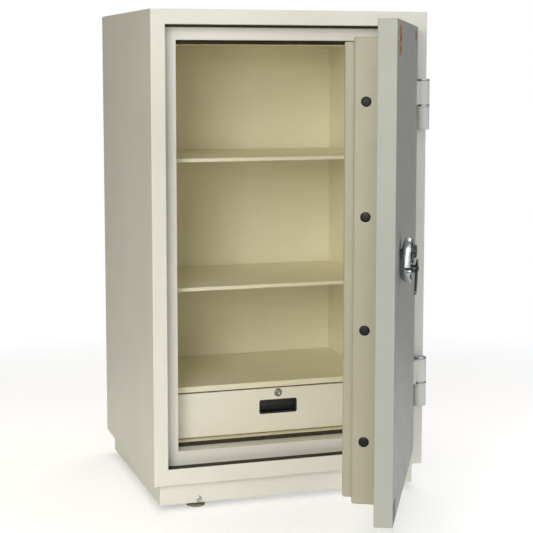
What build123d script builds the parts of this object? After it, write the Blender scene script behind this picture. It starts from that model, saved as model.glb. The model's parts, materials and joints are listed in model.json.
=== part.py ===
"""A tall fire-resistant document safe, standing open: an insulated cabinet on a plinth, a stepped plug door on
two barrel hinges with four sliding bolts, two shelves and a lockable drawer.

Millimetres. X runs to the right seen from the front, Y runs to the back and Z up. The origin is on the floor, under
the middle of the body's front face. The door is stored standing open, and is modelled shut and then swung to that
angle.
"""
from build123d import *
import os
from math import cos, radians, sin

# Cabinet body
BODY_W = 700.0              # outside width
BODY_D = 583.0              # outside depth, without the door
BODY_H = 1141.0             # outside height, without the plinth
BASE_Z = 68.0               # underside of the body above the floor
SHEET = 1.5                 # outer steel sheet
LINER_SHEET = 1.2           # inner steel sheet
FRONT = 0.0
BACK = FRONT + BODY_D
BACK_FLANGE = 26.0          # how far the rear cover wraps round the sides
SHADOW_GAP = 1.5            # joint between the shell and the rear cover

# Door opening, as insets from the body's outside: side, bottom, top
RIM = (34.5, 40.0, 35.0)            # lip of the outer shell
RECESS = (34.5, 34.5, 35.0)         # walls of the recess behind the lip
THROAT = (70.8, 70.8, 70.8)         # second frame, which the door's plug enters
CAVITY = (80.3, 80.3, 80.3)         # inside of the liner
SEAL = (39.5, 36.0, 41.0)           # inner edge of the recess seal
FRAME_D = 43.0              # depth of the second frame's face
THROAT_D = 86.0             # depth where the second frame ends
LINER_D = 90.0              # depth where the liner starts
CAVITY_D = 478.0            # depth of the liner's back wall
SEAL_D = 33.3               # front of the recess seal

# Door, measured from the hinge axis or from the body's underside
OPEN_DEG = 62.5             # stored opening angle
AXIS_X = BODY_W / 2 - 19.0
AXIS_Y = FRONT - 20.0
DOOR_REACH = 643.0          # hinge axis to the slab's free edge
DOOR_HEEL = 19.3            # hinge axis to the slab's hinge edge
FACE_Y = AXIS_Y + 12.0      # outer face, when shut
SLAB_T = 40.4
PLUG_T = 52.3
COVER_T = 20.9
SLAB_Z = (BASE_Z + 46.7, BASE_Z + 1103.2)
PLUG_INSET = 34.5           # plug edge inside the slab's top and bottom edges
PLUG_INSET_FREE = 42.0      # more at the free edge, to clear the frame as it swings
PLUG_INSET_HEEL = 38.0
COVER_INSET = 11.0

# Hinges
BARREL_R = 16.8
PIN_R = 6.0
RUN = 0.05                  # radial running clearance
KNUCKLE_H = 56.8
WASHER_H = 5.0
HEAD_H = 5.4
HINGE_Z = (BASE_Z + 158.0, BASE_Z + 853.0)      # foot of each lower knuckle

# Bolt work
BOLT_R = 11.1
BOLT_THROW = 22.0
BOLT_Z = [BASE_Z + 217.0 + 239.2 * row for row in range(4)]
BOLT_BACK = 26.2            # bolt axis behind the slab's back face
LEVER_X = AXIS_X - 515.0
LEVER_Z = BASE_Z + 578.0
DIAL_Z = BASE_Z + 615.5
LEVER_TURN = 45.0           # turns from open to locked
SPINDLE_R = 6.0
DIAL_SPINDLE_R = 5.0
DIAL_SPINDLE_END = 34.0     # behind the slab's back face
CRANK_R = BOLT_THROW / 2 / sin(radians(LEVER_TURN / 2))

# Inside
FITTING_D = 113.0           # front of the shelves and the drawer
FITTING_BACK_D = 475.0
SHELF_TOP = (BASE_Z + 463.4, BASE_Z + 783.3)
SHELF_H = 10.0
SHELF_HALF_W = 267.7
SLOT_PITCH = 80.0
SLOT_COLUMNS_D = (165.0, 461.0)
DRAWER_BOX_Z = (BASE_Z + 80.6, BASE_Z + 213.3)
DRAWER_LIP_H = 14.1
DRAWER_FRONT_Z = (BASE_Z + 83.0, BASE_Z + 195.7)
DRAWER_HALF_W = 264.5
DRAWER_FRONT_T = 18.0
PULL_SIZE = (100.0, 36.0)
PULL_Z = BASE_Z + 148.5
DRAWER_LOCK_Z = BASE_Z + 183.5

# Base
PLINTH_Z = (13.5, BASE_Z)
PLINTH_INSETS = (18.1, 21.6, 21.9)  # side, front, back
PLINTH_SHEET = 2.0
FOOT_X = 235.0
FOOT_Y = FRONT + 50.0
FOOT_R = 23.0
FOOT_STEM_R = 8.0
WHEEL_R = 26.0
WHEEL_W = 24.0
WHEEL_X = 268.0
WHEEL_Y = (FRONT + 116.0, BACK - 78.0)
FRONT_WHEEL_LIFT = 1.5      # the feet take the front wheels off the floor
AXLE_R = 4.0


def block(x, y, z):
    """A box between (low, high) on each axis."""
    middle = [(pair[0] + pair[1]) / 2 for pair in (x, y, z)]
    return Pos(*middle) * Box(x[1] - x[0], y[1] - y[0], z[1] - z[0])


def depth(front, back):
    """A Y range from depths behind the body's front face."""
    return (FRONT + front, FRONT + back)


def window(insets, grow=0.0):
    """The X and Z ranges of an opening inset from the body's outside, grown all round."""
    side, bottom, top = insets
    half = BODY_W / 2 - side + grow
    return (-half, half), (BASE_Z + bottom - grow, BASE_Z + BODY_H - top + grow)


def window_block(insets, y, grow=0.0):
    """A box that fills an opening over a Y range."""
    x, z = window(insets, grow)
    return block(x, y, z)


def rod(radius, start, length, axis):
    """A cylinder from a start point along +X, +Y or +Z."""
    turn = {"x": (0, 90, 0), "y": (-90, 0, 0), "z": (0, 0, 0)}[axis]
    align = (Align.CENTER, Align.CENTER, Align.MIN)
    return Pos(*start) * Rot(*turn) * Cylinder(radius, length, align=align)


def edges_along(shape, axis, test):
    """The straight edges of a shape along one axis whose centre passes a test."""
    return [edge for edge in shape.edges().filter_by(axis) if test(edge.center())]


def four_around(outer, inner, y):
    """Four butted bars that fill the ring between two openings over a Y range: bottom, top, left and right."""
    (ox, oz), (ix, iz) = outer, inner
    return [
        block(ox, y, (oz[0], iz[0])),
        block(ox, y, (iz[1], oz[1])),
        block((ox[0], ix[0]), y, iz),
        block((ix[1], ox[1]), y, iz),
    ]


# Cabinet shell, frame, liner and insulation

def outer_shell():
    """Folded sheet: sides, top, bottom, front lip and the walls of the door recess."""
    whole = (0.0, 0.0, 0.0)
    side_end = BODY_D - BACK_FLANGE
    skin = window_block(whole, depth(0, side_end))
    skin = fillet(edges_along(skin, Axis.Z, lambda c: c.Y < FRONT + 1), 2.5)
    skin -= window_block(whole, depth(SHEET, BODY_D), -SHEET)
    skin -= window_block(RIM, depth(-1, SHEET + 1))
    walls = window_block(RECESS, depth(SHEET, FRAME_D), SHEET)
    walls -= window_block(RECESS, depth(0, FRAME_D + 1))
    return skin + walls


def back_panel():
    """Rear cover: a shallow pan whose flange wraps round the sides."""
    inset = (0.8, 0.8, 0.8)
    y = (BACK - BACK_FLANGE + SHADOW_GAP, BACK)
    pan = window_block(inset, y)
    pan = fillet(edges_along(pan, Axis.Z, lambda c: c.Y > BACK - 1), 3.0)
    return pan - window_block(inset, (y[0] - 1, BACK - SHEET), -SHEET + 0.8)


def recess_seal():
    """Black seal in the corner of the recess, with a flat strip along its floor."""
    y = depth(SEAL_D, FRAME_D)
    frame = window_block(RECESS, y) - window_block(SEAL, (y[0] - 1, y[1] + 1))
    x, z = window(RECESS)
    floor = block(x, depth(SHEET, FRAME_D), (z[0], window(SEAL)[1][0]))
    return frame + floor


def bolt_bores(radius, x, y_axis):
    """One cylinder for each bolt along X."""
    return [rod(radius, (x[0], y_axis, z), x[1] - x[0], "x") for z in BOLT_Z]


def shut_bolt_y():
    """Y of the bolt axes with the door shut."""
    return FACE_Y + SLAB_T + BOLT_BACK


def door_frame():
    """Second frame: a flat face ring and the return that the plug enters, with four bolt holes."""
    face = window_block(RECESS, depth(FRAME_D, FRAME_D + SHEET), SHEET)
    sleeve = window_block(THROAT, depth(FRAME_D, THROAT_D), SHEET)
    frame = face + sleeve - window_block(THROAT, depth(FRAME_D - 1, THROAT_D + 1))
    x_edge = -BODY_W / 2 + THROAT[0]
    for bore in bolt_bores(BOLT_R + 2.0, (x_edge - 10, x_edge + 5), shut_bolt_y()):
        frame -= bore
    return frame


def throat_seal():
    """Black thermal break between the frame and the liner."""
    ring = window_block(THROAT, depth(THROAT_D, LINER_D), SHEET)
    return ring - window_block(CAVITY, depth(THROAT_D - 1, LINER_D + 1))


def slot_heights():
    """Heights of the shelf slots: the shelves' own slots and the rest of the ladder."""
    lowest = SHELF_TOP[0] - SHELF_H - SLOT_PITCH * 2 - 5.4
    return [lowest + SLOT_PITCH * step for step in range(10)]


def inner_liner():
    """Inner steel box with two ladders of shelf slots in each side."""
    box = window_block(CAVITY, depth(LINER_D, CAVITY_D + LINER_SHEET), LINER_SHEET)
    box -= window_block(CAVITY, depth(LINER_D - 1, CAVITY_D))
    slots = Compound([
        block((-BODY_W / 2, BODY_W / 2), depth(d - 2.5, d + 2.5), (z - 6, z + 6))
        for d in SLOT_COLUMNS_D for z in slot_heights()
    ])
    inner = window_block(CAVITY, depth(0, BODY_D), LINER_SHEET + 1)
    return box - (slots & inner)


def insulation():
    """Cast fire-resisting blocks between the outer sheet and the liner."""
    y = depth(LINER_D, BODY_D - SHEET)
    whole = window((0.0, 0.0, 0.0), -SHEET)
    liner = window(CAVITY, LINER_SHEET)
    bottom, top, left, right = four_around(whole, liner, y)
    back = block(liner[0], depth(CAVITY_D + LINER_SHEET, BODY_D - SHEET), liner[1])
    return {"insulation_top_bottom": Compound([bottom, top]), "insulation_sides": Compound([left, right]),
            "insulation_back": back}


def frame_core():
    """Fire-resisting bars behind the front lip and behind the second frame."""
    whole = window((0.0, 0.0, 0.0), -SHEET)
    lip_bars = four_around(whole, window(RECESS, SHEET), depth(SHEET, FRAME_D + SHEET))
    throat_bars = four_around(whole, window(THROAT, SHEET), depth(FRAME_D + SHEET, LINER_D))
    edge = -BODY_W / 2 + THROAT[0]
    for bore in bolt_bores(BOLT_R + 2.0, (edge - 30, edge), shut_bolt_y()):
        throat_bars[2] -= bore
    return Compound(lip_bars + throat_bars)


def frame_plugs():
    """Small round plugs in the frame's top corners and on the hinge side of the lip."""
    corner_x = BODY_W / 2 - 55.0
    corner_z = BASE_Z + BODY_H - 51.0
    plugs = [rod(4.5, (x, FRONT + FRAME_D - 0.8, corner_z), 0.8, "y") for x in (-corner_x, corner_x)]
    plugs += [rod(3.5, (BODY_W / 2 - 14.5, FRONT - 0.8, BASE_Z + 1016.0), 0.8, "y"),
              rod(4.0, (BODY_W / 2 - 28.0, FRONT - 0.8, BASE_Z + 17.0), 0.8, "y")]
    return Compound(plugs)


def sill_cap():
    """Round cap let into the sill."""
    return rod(15.0, (-BODY_W / 2 + 141.0, FRONT + 62.0, BASE_Z + THROAT[1]), 1.2, "z")


# Base

def plinth():
    """Four folded panels under the body, with screw holes in the front one."""
    side, front, back = PLINTH_INSETS
    x = (-BODY_W / 2 + side, BODY_W / 2 - side)
    y = (FRONT + front, BACK - back)
    t = PLINTH_SHEET
    face = block(x, (y[0], y[0] + t), PLINTH_Z)
    face = fillet(edges_along(face, Axis.Z, lambda c: c.Y < y[0] + t / 2), 1.5)
    return Compound([
        face,
        block(x, (y[1] - t, y[1]), PLINTH_Z),
        block((x[0], x[0] + t), (y[0] + t, y[1] - t), PLINTH_Z),
        block((x[1] - t, x[1]), (y[0] + t, y[1] - t), PLINTH_Z),
    ])


def plinth_screws():
    """Pan-head screws that hold the foot brackets."""
    y = FRONT + PLINTH_INSETS[1]
    screws = []
    for x in (-FOOT_X + 1.0, FOOT_X - 1.0):
        head = rod(8.0, (x, y - 3.0, 22.5), 3.0, "y")
        head = fillet(head.edges().sort_by(Axis.Y)[:1], 1.6)
        cross = Compound([block((x - 4, x + 4), (y - 4, y - 1.6), (22.0, 23.0)),
                          block((x - 0.5, x + 0.5), (y - 4, y - 1.6), (18.5, 26.5))])
        screws.append(head - cross)
    return Compound(screws)


def foot_brackets():
    """Angle brackets behind the plinth that carry the levelling feet."""
    y = (FRONT + PLINTH_INSETS[1] + PLINTH_SHEET, FOOT_Y + 22.0)
    brackets = []
    for x in (-FOOT_X, FOOT_X):
        shelf = block((x - 24, x + 24), y, (36.0, 41.0))
        rear = block((x - 24, x + 24), (y[1] - 4, y[1]), (41.0, BASE_Z))
        brackets.append(shelf + rear - rod(FOOT_STEM_R + 0.4, (x, FOOT_Y, 30), 20, "z"))
    return Compound(brackets)


def levelling_foot(x):
    """A round pad on a screwed stem."""
    pad = rod(FOOT_R, (x, FOOT_Y, 0), 7.0, "z")
    pad = fillet(pad.edges().sort_by(Axis.Z)[-1:], 3.0)
    pad = fillet(pad.edges().sort_by(Axis.Z)[:1], 1.0)
    return pad + rod(FOOT_STEM_R, (x, FOOT_Y, 6.0), 50.0, "z") + rod(13.0, (x, FOOT_Y, 6.5), 6.0, "z")


def wheel_places():
    """Name, X, Y and axle height of the four wheels."""
    for end, y, lift in (("front", WHEEL_Y[0], FRONT_WHEEL_LIFT), ("rear", WHEEL_Y[1], 0.0)):
        for side, x in (("left", -WHEEL_X), ("right", WHEEL_X)):
            yield end + "_" + side, x, y, WHEEL_R + lift


def caster_wheel(x, y, z):
    """Solid roller with rounded treads."""
    wheel = rod(WHEEL_R, (x - WHEEL_W / 2, y, z), WHEEL_W, "x")
    wheel = fillet(wheel.edges(), 2.5)
    return wheel - rod(AXLE_R + RUN, (x - WHEEL_W, y, z), WHEEL_W * 2, "x")


def caster_brackets():
    """Forks under the body: a top plate and two cheeks each."""
    forks = []
    for _, x, y, z in wheel_places():
        fork = block((x - 24, x + 24), (y - 32, y + 32), (BASE_Z - 4, BASE_Z))
        for side in (-1, 1):
            inner = x + side * (WHEEL_W / 2 + 1.0)
            outer = inner + side * 4.0
            fork += block((min(inner, outer), max(inner, outer)), (y - 13, y + 13), (z - 12, BASE_Z - 4))
        forks.append(fork - rod(AXLE_R, (x - 30, y, z), 60, "x"))
    return Compound(forks)


def caster_axles():
    """Plain pins pressed into the forks."""
    length = WHEEL_W + 12.0
    return Compound([rod(AXLE_R, (x - length / 2, y, z), length, "x") for _, x, y, z in wheel_places()])


# Hinges

def body_hinge(foot):
    """Lower knuckle with the leaf that is welded to the front lip."""
    knuckle = rod(BARREL_R, (AXIS_X, AXIS_Y, foot), KNUCKLE_H, "z")
    knuckle = fillet(knuckle.edges().sort_by(Axis.Z)[:1], 1.0)
    z = (foot, foot + KNUCKLE_H)
    leaf = block((AXIS_X - 13, AXIS_X + 17), (FRONT - 4.5, FRONT), z)
    web = block((AXIS_X - 9, AXIS_X + 9), (AXIS_Y + 10, FRONT), z)
    return knuckle + leaf + web - rod(PIN_R, (AXIS_X, AXIS_Y, foot - 1), KNUCKLE_H + 2, "z")


def door_hinge(foot):
    """Upper knuckle with the leaf that is welded to the door's face. Modelled shut."""
    low = foot + KNUCKLE_H + WASHER_H
    knuckle = rod(BARREL_R, (AXIS_X, AXIS_Y, low), KNUCKLE_H, "z")
    leaf = block((AXIS_X - 46, AXIS_X - 8), (FACE_Y - 5.5, FACE_Y), (low, low + KNUCKLE_H))
    leaf = chamfer(edges_along(leaf, Axis.Z, lambda c: c.X < AXIS_X - 45 and c.Y < FACE_Y - 5), 2.0)
    bore = rod(PIN_R + RUN, (AXIS_X, AXIS_Y, low - 1), KNUCKLE_H + 2, "z")
    return knuckle + leaf - bore


def hinge_pins():
    """Plain pins with a domed head over each upper knuckle."""
    pins = []
    for foot in HINGE_Z:
        top = foot + 2 * KNUCKLE_H + WASHER_H + 0.4
        head = rod(BARREL_R, (AXIS_X, AXIS_Y, top), HEAD_H, "z")
        head = fillet(head.edges().sort_by(Axis.Z)[-1:], 3.0)
        pins.append(head + rod(PIN_R, (AXIS_X, AXIS_Y, foot), top - foot + 1, "z"))
    return Compound(pins)


def hinge_washers():
    """Thrust washers between the knuckles."""
    washers = []
    for foot in HINGE_Z:
        low = foot + KNUCKLE_H
        washer = rod(BARREL_R + 0.6, (AXIS_X, AXIS_Y, low), WASHER_H - 0.4, "z")
        washer = fillet(washer.edges(), 1.0)
        washers.append(washer - rod(PIN_R + RUN, (AXIS_X, AXIS_Y, low - 1), WASHER_H + 2, "z"))
    return Compound(washers)


# Door, modelled shut

SLAB_X = (AXIS_X - DOOR_REACH, AXIS_X - DOOR_HEEL)
SLAB_BACK = FACE_Y + SLAB_T
PLUG_BACK = SLAB_BACK + PLUG_T
COVER_BACK = PLUG_BACK + COVER_T
PLUG_X = (SLAB_X[0] + PLUG_INSET_FREE, SLAB_X[1] - PLUG_INSET_HEEL)
PLUG_Z = (SLAB_Z[0] + PLUG_INSET, SLAB_Z[1] - PLUG_INSET)


def shrink(pair, by):
    """A range with both ends moved in."""
    return (pair[0] + by, pair[1] - by)


def spindle_bore(radius):
    """Hole for the lever's spindle, through the slab to the crank."""
    return rod(radius, (LEVER_X, FACE_Y - 60, LEVER_Z), SLAB_T + 90, "y")


def dial_bore(radius):
    """Hole for the dial's spindle, as far as the lock case."""
    return rod(radius, (LEVER_X, FACE_Y - 60, DIAL_Z), SLAB_T + 60 + DIAL_SPINDLE_END + 2, "y")


def door_outer_pan():
    """Outer steel pan of the slab."""
    pan = block(SLAB_X, (FACE_Y, SLAB_BACK), SLAB_Z)
    pan = fillet(pan.edges().filter_by(Axis.Z), 1.4)
    pan -= block(shrink(SLAB_X, SHEET), (FACE_Y + SHEET, SLAB_BACK + 1), shrink(SLAB_Z, SHEET))
    return pan - spindle_bore(9.0) - dial_bore(DIAL_SPINDLE_R)


def door_fire_core():
    """Fire-resisting fill of the slab."""
    core = block(shrink(SLAB_X, SHEET), (FACE_Y + SHEET, SLAB_BACK - SHEET), shrink(SLAB_Z, SHEET))
    return core - spindle_bore(9.0) - dial_bore(DIAL_SPINDLE_R)


def door_back_plate():
    """Flat plate that closes the slab and carries the plug."""
    plate = block(shrink(SLAB_X, SHEET), (SLAB_BACK - SHEET, SLAB_BACK), shrink(SLAB_Z, SHEET))
    return plate - spindle_bore(9.0) - dial_bore(DIAL_SPINDLE_R)


def rounded_pan(x, y, z, radius, sheet):
    """A pan open to the front, with every edge at its back and round its corners bent to a radius."""
    outer = block(x, y, z)
    outer = fillet([e for e in outer.edges() if e.center().Y > y[0] + 1], radius)
    inner = block(shrink(x, sheet), (y[0] - 1, y[1] - sheet), shrink(z, sheet))
    inner = fillet([e for e in inner.edges() if e.center().Y > y[0] + 1], radius - sheet)
    return outer - inner


def door_plug():
    """Plug that fills the throat, with a hole for each bolt in its free edge."""
    pan = rounded_pan(PLUG_X, (SLAB_BACK, PLUG_BACK), PLUG_Z, 4.5, SHEET)
    for bore in bolt_bores(BOLT_R + 0.4, (PLUG_X[0] - 5, PLUG_X[0] + 5), shut_bolt_y()):
        pan -= bore
    return pan


def inner_cover():
    """Last step of the plug: a shallow cover over the bolt work."""
    x = shrink(PLUG_X, COVER_INSET)
    z = shrink(PLUG_Z, COVER_INSET)
    return rounded_pan(x, (PLUG_BACK, COVER_BACK), z, 4.5, LINER_SHEET)


def cover_board():
    """Fire-resisting board in the inner cover."""
    x = shrink(PLUG_X, COVER_INSET + 6.0)
    z = shrink(PLUG_Z, COVER_INSET + 6.0)
    return block(x, (PLUG_BACK, COVER_BACK - 4.0), z)


def spindle_sleeve():
    """Tube that lines the spindle's hole through the slab."""
    tube = rod(9.0, (LEVER_X, FACE_Y, LEVER_Z), SLAB_T, "y")
    return tube - spindle_bore(SPINDLE_R + RUN)


def bolt_guides():
    """Guide bushes behind the plug's free edge."""
    x = (PLUG_X[0] + SHEET, PLUG_X[0] + 20.0)
    outer = bolt_bores(BOLT_R + 4.0, x, shut_bolt_y())
    bores = bolt_bores(BOLT_R + RUN, (x[0] - 1, x[1] + 1), shut_bolt_y())
    return Compound([ring - bore for ring, bore in zip(outer, bores)])


def locking_bolts():
    """Four round bolts, drawn back flush with the plug's edge."""
    x = (PLUG_X[0] + 0.3, PLUG_X[0] + 45.0)
    bolts = []
    for bolt in bolt_bores(BOLT_R, x, shut_bolt_y()):
        bolts.append(chamfer(bolt.edges().sort_by(Axis.X)[:1], 1.4))
    return Compound(bolts)


def bolt_bar():
    """Bar behind the bolts, with the slotted link that the crank pin moves."""
    x = (PLUG_X[0] + 45.0, PLUG_X[0] + 51.0)
    bar = block(x, (SLAB_BACK + 15, SLAB_BACK + 37), (BOLT_Z[0] - 18, BOLT_Z[-1] + 18))
    pin_x = LEVER_X + BOLT_THROW / 2
    pin_z = LEVER_Z - CRANK_R
    link = block((x[1] - 0.5, pin_x + 14), (SLAB_BACK + 22, SLAB_BACK + 26), (pin_z - 14, pin_z + 16))
    slot = block((pin_x - 4.7, pin_x + 4.7), (SLAB_BACK + 20, SLAB_BACK + 28), (pin_z - 7, pin_z + 10))
    return bar + link - slot


def crank_pin_place():
    """X and Z of the crank pin with the bolts drawn back."""
    half = radians(LEVER_TURN / 2)
    return LEVER_X + CRANK_R * sin(half), LEVER_Z - CRANK_R * cos(half)


def drive_crank():
    """Crank on the spindle's inner end, with its pin."""
    pin_x, pin_z = crank_pin_place()
    outline = make_hull([*Circle(13.0).edges(), *(Pos(pin_x - LEVER_X, pin_z - LEVER_Z) * Circle(8.0)).edges()])
    arm = Pos(LEVER_X, SLAB_BACK + 20.5, LEVER_Z) * extrude(Plane.XZ * outline, amount=5.0)
    pin = rod(4.0, (pin_x, SLAB_BACK + 20, pin_z), 9.0, "y")
    return arm + pin - spindle_bore(SPINDLE_R)


def lever_spindle():
    """Round spindle from the lever to the crank."""
    return rod(SPINDLE_R, (LEVER_X, FACE_Y - 30.0, LEVER_Z), SLAB_T + 50.5, "y")


def lever_handle():
    """Flat lever on a tapered neck, pointing down towards the door's free edge."""
    neck = Pos(LEVER_X, FACE_Y - 12.0, LEVER_Z) * Rot(90, 0, 0) * Cone(
        5.0 + SPINDLE_R, SPINDLE_R + 2.5, 22.0, align=(Align.CENTER, Align.CENTER, Align.MIN))
    blade_y = FACE_Y - 38.5
    outline = make_hull([*Circle(12.0).edges(), *(Pos(-59.5, 0) * Circle(6.5)).edges(),
                         *(Pos(17, 0) * Circle(7.0)).edges()])
    blade = extrude(Plane.XZ * outline, amount=5.5)
    blade = fillet([e for e in blade.edges() if abs(e.center().Y) > 5.4 or abs(e.center().Y) < 0.1], 1.6)
    blade = Pos(LEVER_X, blade_y + 5.5, LEVER_Z) * Rot(0, -45, 0) * blade
    bore = rod(SPINDLE_R, (LEVER_X, FACE_Y - 30.0, LEVER_Z), 30.0, "y")
    return neck + blade - bore


def lock_housing():
    """Oval cast housing: a small foot flared out, most of all upwards, and notched beside the lever's neck."""
    mid_z = (LEVER_Z + DIAL_Z) / 2
    spread = DIAL_Z - LEVER_Z

    def oval(radius, length=spread):
        return Rot(0, 0, 90) * SlotCenterToCenter(length, 2 * radius)

    flare = loft([Plane((LEVER_X, FACE_Y - off, LEVER_Z + length / 2), x_dir=(1, 0, 0), z_dir=(0, -1, 0))
                  * oval(radius, length) for off, radius, length in ((0.0, 21.0, spread * 0.4), (10.0, 30.5, spread))])
    barrel_plane = Plane((LEVER_X, FACE_Y - 10.0, mid_z), x_dir=(1, 0, 0), z_dir=(0, -1, 0))
    barrel = extrude(barrel_plane * oval(30.5), amount=15.0)
    barrel = fillet(barrel.edges().sort_by(Axis.Y)[:4], 2.5)
    body = flare + barrel
    notch = block((LEVER_X - 40, LEVER_X - 12), (FACE_Y - 26, FACE_Y - 12), (LEVER_Z - 6, LEVER_Z + 6))
    body -= notch
    body -= rod(12.5, (LEVER_X, FACE_Y - 30, LEVER_Z), 19.0, "y")
    return body - spindle_bore(9.0) - dial_bore(DIAL_SPINDLE_R)


def lock_dial():
    """Dial with a grooved grip on its spindle."""
    dial = rod(26.0, (LEVER_X, FACE_Y - 29.8, DIAL_Z), 4.4, "y")
    dial = fillet(dial.edges().sort_by(Axis.Y)[:1], 1.2)
    grip = rod(14.0, (LEVER_X, FACE_Y - 35.5, DIAL_Z), 7.0, "y")
    grip = fillet(grip.edges().sort_by(Axis.Y)[:1], 1.5)
    dial += grip
    for step in range(12):
        angle = radians(30 * step)
        place = (LEVER_X + 14.6 * cos(angle), FACE_Y - 40, DIAL_Z + 14.6 * sin(angle))
        dial -= rod(1.6, place, 10.0, "y")
    spindle = rod(DIAL_SPINDLE_R - RUN, (LEVER_X, FACE_Y - 27.0, DIAL_Z), SLAB_T + 27 + DIAL_SPINDLE_END, "y")
    return dial + spindle


def lock_case():
    """Case of the dial lock, inside the plug."""
    case = block((LEVER_X - 28, LEVER_X + 28), (SLAB_BACK + 24, SLAB_BACK + 42), (DIAL_Z - 22, DIAL_Z + 52))
    return case - dial_bore(DIAL_SPINDLE_R)


def door_badge():
    """Plain round badge near the top of the free edge."""
    badge = rod(33.0, (AXIS_X - 573.0, FACE_Y - 1.2, BASE_Z + 1061.5), 1.2, "y")
    return fillet(badge.edges().sort_by(Axis.Y)[:1], 0.6)


def rating_plate():
    """Plain plate at the bottom of the free edge."""
    x = (SLAB_X[0] + 5, SLAB_X[0] + 60)
    plate = block(x, (FACE_Y - 1.0, FACE_Y), (BASE_Z + 56, BASE_Z + 95))
    return fillet(plate.edges().filter_by(Axis.Y), 4.0)


def small_label():
    """Small plain label near the top of the hinge edge."""
    x = (AXIS_X - 103, AXIS_X - 83)
    return block(x, (FACE_Y - 0.8, FACE_Y), (BASE_Z + 1069, BASE_Z + 1092))


# Shelves and drawer

def shelf(top):
    """Folded shelf tray with a lip all round."""
    x = (-SHELF_HALF_W, SHELF_HALF_W)
    y = depth(FITTING_D, FITTING_BACK_D)
    tray = block(x, y, (top - SHELF_H, top))
    tray = fillet(edges_along(tray, Axis.X, lambda c: c.Y < FRONT + FITTING_D + 1), 2.4)
    hollow = block(shrink(x, LINER_SHEET), shrink(y, LINER_SHEET), (top - SHELF_H - 1, top - 2.6))
    return tray - hollow


def shelf_clips():
    """Steel tabs in the side slots, four under each shelf."""
    wall = BODY_W / 2 - CAVITY[0]
    clips = []
    for top in SHELF_TOP:
        z = (top - SHELF_H - 3.0, top - SHELF_H)
        for d in SLOT_COLUMNS_D:
            for side in (-1, 1):
                x = sorted((side * (wall - 12.0), side * wall))
                tab = block(x, depth(d - 8, d + 8), z)
                foot = sorted((side * (wall - 2.0), side * wall))
                clips.append(tab + block(foot, depth(d - 8, d + 8), (z[0] - 12, z[0])))
    return Compound(clips)


def drawer_housing():
    """Fixed cover over the drawer: a top with a deep front lip, two sides and the keeper for the drawer lock."""
    x = (-268.6, 268.6)
    y = depth(FITTING_D, FITTING_BACK_D)
    z = DRAWER_BOX_Z
    t = LINER_SHEET
    top = block(x, y, (z[1] - 2.0, z[1]))
    lip = block(x, (y[0], y[0] + t), (z[1] - DRAWER_LIP_H, z[1]))
    sides = block((x[0], x[0] + t), y, z) + block((x[1] - t, x[1]), y, z)
    keeper = block((-14, 14), (y[0] + 16.2, y[0] + 17.7), (DRAWER_FRONT_Z[1] + 1.2, z[1] - 1))
    return top + lip + sides + keeper


def drawer_runners():
    """Fixed channels on the housing's sides."""
    y = depth(FITTING_D + 22, FITTING_BACK_D - 6)
    z = (BASE_Z + 118, BASE_Z + 138)
    channels = []
    for side in (-1, 1):
        outer = 268.6 - LINER_SHEET
        web = sorted((side * (outer - 1.5), side * outer))
        arm = sorted((side * (outer - 10.0), side * outer))
        channels.append(block(web, y, z) + block(arm, y, (z[0], z[0] + 1.5)) + block(arm, y, (z[1] - 1.5, z[1])))
    return Compound(channels)


def drawer_slides():
    """Moving rails on the tray's sides, which run in the channels."""
    y = depth(FITTING_D + 24, FITTING_BACK_D - 12)
    rails = []
    for side in (-1, 1):
        x = sorted((side * 252.2, side * 265.2))
        rails.append(block(x, y, (BASE_Z + 121.0, BASE_Z + 135.0)))
    return Compound(rails)


def drawer_front():
    """Folded front panel with openings for the pull and the lock."""
    x = (-DRAWER_HALF_W, DRAWER_HALF_W)
    y = depth(FITTING_D, FITTING_D + DRAWER_FRONT_T)
    panel = block(x, y, DRAWER_FRONT_Z)
    panel = fillet([e for e in panel.edges() if e.center().Y < y[0] + 0.1], 2.0)
    pull_hole = block((-PULL_SIZE[0] / 2 + 3, PULL_SIZE[0] / 2 - 3), (y[0] - 1, y[1] + 1),
                      (PULL_Z - PULL_SIZE[1] / 2 + 3, PULL_Z + PULL_SIZE[1] / 2 - 3))
    lock_hole = rod(9.5, (0, y[0] - 1, DRAWER_LOCK_Z), DRAWER_FRONT_T + 2, "y")
    return panel - pull_hole - lock_hole


def drawer_tray():
    """Open tray behind the front panel."""
    x = (-252.0, 252.0)
    y = depth(FITTING_D + DRAWER_FRONT_T, FITTING_BACK_D - 10)
    z = (BASE_Z + 88, BASE_Z + 168)
    tray = block(x, y, z)
    return tray - block(shrink(x, LINER_SHEET), shrink(y, LINER_SHEET), (z[0] + LINER_SHEET, z[1] + 1))


def drawer_pull():
    """Recessed cup pull with a deep grip lip along its top."""
    y_face = FRONT + FITTING_D
    w, h = PULL_SIZE
    flange = block((-w / 2, w / 2), (y_face - 1.2, y_face), (PULL_Z - h / 2, PULL_Z + h / 2))
    flange = fillet(flange.edges().filter_by(Axis.Y), 5.0)
    cup = block((-w / 2 + 3.2, w / 2 - 3.2), (y_face - 1, y_face + 16), (PULL_Z - h / 2 + 3.2, PULL_Z + h / 2 - 3.2))
    hollow = block((-w / 2 + 5, w / 2 - 5), (y_face - 0.2, y_face + 14.6), (PULL_Z - h / 2 + 5, PULL_Z + h / 2 - 5))
    mouth = block((-w / 2 + 6, w / 2 - 6), (y_face - 2, y_face + 1), (PULL_Z - h / 2 + 6, PULL_Z + h / 2 - 15))
    grip = block((-w / 2 + 6, w / 2 - 6), (y_face - 0.3, y_face + 1.4), (PULL_Z + h / 2 - 15, PULL_Z + h / 2 - 4))
    return flange + cup - hollow - mouth + grip


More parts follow.
